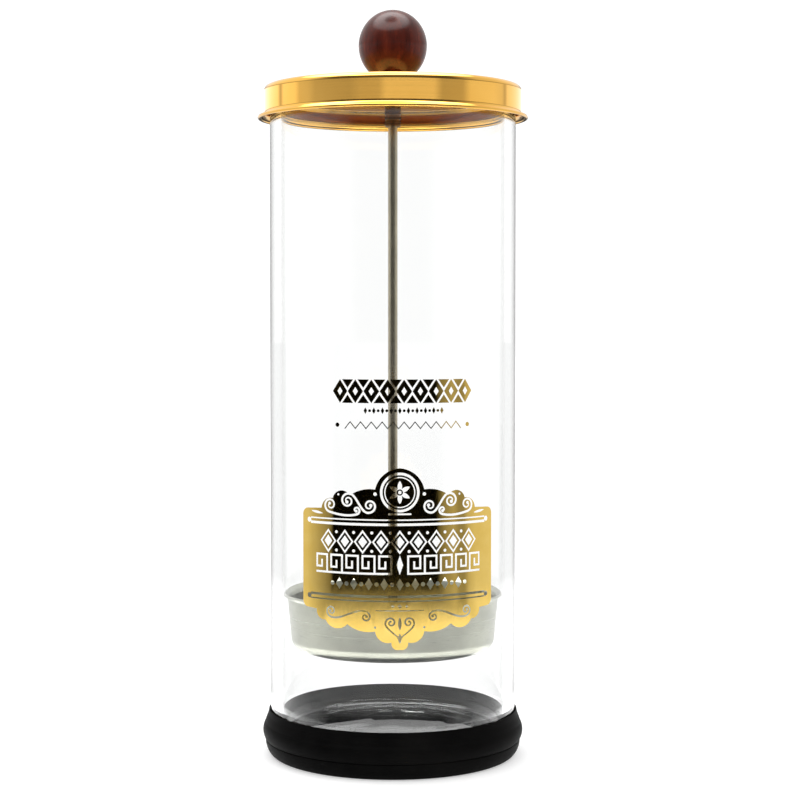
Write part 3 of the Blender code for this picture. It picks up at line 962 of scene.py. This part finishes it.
def make_card():
    """Ring just over the floor that reflections and light through the glass see in the floor's place."""
    steps = 96
    verts, faces = [], []
    for i in range(steps + 1):
        a = math.tau * i / steps
        for r in (CARD_NEAR, CARD_FAR):
            verts.append((r * math.sin(a), -r * math.cos(a), CARD_RISE))
    for i in range(steps):
        faces.append((2 * i, 2 * i + 1, 2 * i + 3, 2 * i + 2))
    card = stage_object("floor_card", verts, faces, card_material())
    card.visible_camera = card.visible_diffuse = card.visible_shadow = False


def make_world():
    """White for the camera and for soft light; mirrors see a lit band, dim domes and a ring lamp overhead."""
    world = bpy.data.worlds.new("studio")
    bpy.context.scene.world = world
    world.use_nodes = True
    n = Nodes(world.node_tree)
    n.tree.nodes.clear()
    direction = n.add("ShaderNodeTexCoord").outputs["Generated"]
    x, y, z = n.split(direction)
    turn = n.azimuth(x, y)

    low = n.light(turn, (                                               # up to the lit band
        (at(-180), 0.10), (at(-171), 0.20), (at(-165), 0.95), (at(-150), 1.1), (at(-70), 0.9),
        (at(-35), 0.06), (at(35), 0.06), (at(70), 0.9), (at(150), 1.1), (at(165), 0.95), (at(171), 0.20),
        (at(180), 0.10)))
    walls = n.light(turn, (                                             # the lit band
        (at(-150), 1.7), (at(-123), 1.45), (at(-118.5), 0.7), (at(-117), 0.7), (at(-113), 1.3),
        (at(-96), 1.2), (at(-90), 0.80), (at(-80), 0.74), (at(-72), 0.58), (at(-60), 0.55), (at(-38), 0.53),
        (at(-28), 0.64), (at(-12), 0.66), (at(-6), 0.92), (at(36), 0.92), (at(44), 0.56), (at(64), 0.58),
        (at(72), 0.94), (at(100), 1.0), (at(113), 0.9), (at(116.5), 0.65), (at(118), 0.65), (at(122), 1.1),
        (at(150), 1.4)))
    dome = n.light(turn, (                                              # just over the band
        (at(-180), 0.45), (at(-150), 0.8), (at(-90), 0.55), (at(-50), 0.12), (at(50), 0.10), (at(90), 0.45),
        (at(150), 0.8), (at(180), 0.45)))
    crown = n.light(turn, (                                             # higher up
        (at(-180), 0.9), (at(-150), 1.2), (at(-85), 1.1), (at(-55), 0.14), (at(55), 0.12), (at(85), 0.8),
        (at(150), 1.1), (at(180), 0.9)))

    band = n.add("ShaderNodeMapRange")
    n.link(z, band.inputs["Value"])
    band.inputs["From Min"].default_value = BAND_LOW
    band.inputs["From Max"].default_value = BAND_HIGH
    in_band = n.light(band.outputs[0], ((0.22, 0.0), (0.29, 1.0)))
    over = n.light(band.outputs[0], ((0.55, 0.0), (0.60, 1.0)))
    high = n.light(z, ((0.17, 0.0), (0.26, 1.0)))
    studio = n.blend(over, n.blend(in_band, low, walls), n.blend(high, dome, crown))

    dot = n.add("ShaderNodeVectorMath", operation='DOT_PRODUCT')
    n.link(direction, dot.inputs[0])
    dot.inputs[1].default_value = Vector(LAMP_AXIS).normalized()
    ring = n.light(dot.outputs["Value"], (
        (0.70, 0.0), (0.80, 0.75), (0.90, 1.0), (0.955, 1.0), (0.985, 0.12)))
    studio = n.math("ADD", studio, n.math("MULTIPLY", ring, RING_LAMP))

    glossy_depth = n.add("ShaderNodeLightPath").outputs["Glossy Depth"]
    mirrored = n.math("GREATER_THAN", glossy_depth, 0.5)
    background = n.add("ShaderNodeBackground")
    background.inputs["Color"].default_value = (1.0, 1.0, 1.0, 1.0)
    n.link(n.blend(mirrored, WHITE_ROOM, studio), background.inputs["Strength"])
    n.link(background.outputs[0], n.add("ShaderNodeOutputWorld").inputs["Surface"])


def area_light(name, place, target, size, power):
    data = bpy.data.lights.new(name, 'AREA')
    data.shape = 'DISK'
    data.size = size
    data.energy = power
    obj = bpy.data.objects.new(name, data)
    obj.location = place
    obj.rotation_euler = (Vector(target) - Vector(place)).to_track_quat('-Z', 'Y').to_euler()
    obj.visible_glossy = obj.visible_camera = obj.visible_transmission = False
    bpy.context.scene.collection.objects.link(obj)


# ================================================================ build

make_camera()
make_floor()
make_card()
make_world()
area_light("overhead", place=(-0.2, 0.3, 1.3), target=(0, 0, 0.12), size=0.9, power=5.0)
bpy.context.scene.view_settings.view_transform = 'Standard'

glass = glass_material()
rubber = rubber_material()
gold = lid_material()
foil = foil_material()
wood = wood_material()
satin = steel_material("satin_steel", (0.56, 0.57, 0.48), rough=0.24, streak=1500.0, worn=0.35)
rod_steel = steel_material("rod_steel", (0.52, 0.47, 0.36), rough=0.16, streak=900.0)
dark_steel = steel_material("collar_steel", (0.20, 0.11, 0.045), rough=0.22, streak=1200.0)
silicone = silicone_material()
brass = brass_material()

stands_for(make_boot(rubber), "jar", "rubber_base")
stands_for(make_glass(glass), "jar", "glass_jar")
stands_for(foil_mesh("plaque_foil", plaque_art(), LABEL_TURN, foil), "jar", "front_label")
stands_for(foil_mesh("upper_foil", panel_art(), PANEL_TURN, foil), "jar", "upper_label")
stands_for(make_lid(gold), "lid", "lid_shell")
stands_for(make_seal(silicone), "lid", "lid_seal")
stands_for(make_knob(wood), "rack", "knob")
stands_for(make_insert(brass), "rack", "knob_insert")
stands_for(make_washer("knob_washer", gold, 0.4 * MM), "rack", "knob_washer")
stands_for(make_rod(rod_steel), "rack", "lift_rod")
stands_for(make_washer("lid_washer", dark_steel, 0.3 * MM), "rack", "lid_washer")
stands_for(make_collar(dark_steel), "rack", "rod_collar")
stands_for(make_basket(satin), "rack", "basket")
for node in ("basket_upper_washer", "basket_lower_washer"):
    stands_for(make_washer(node, satin, 0.2 * MM), "rack", node)
for node in ("basket_upper_nut", "basket_lower_nut"):
    stands_for(make_nut(node, satin), "rack", node)
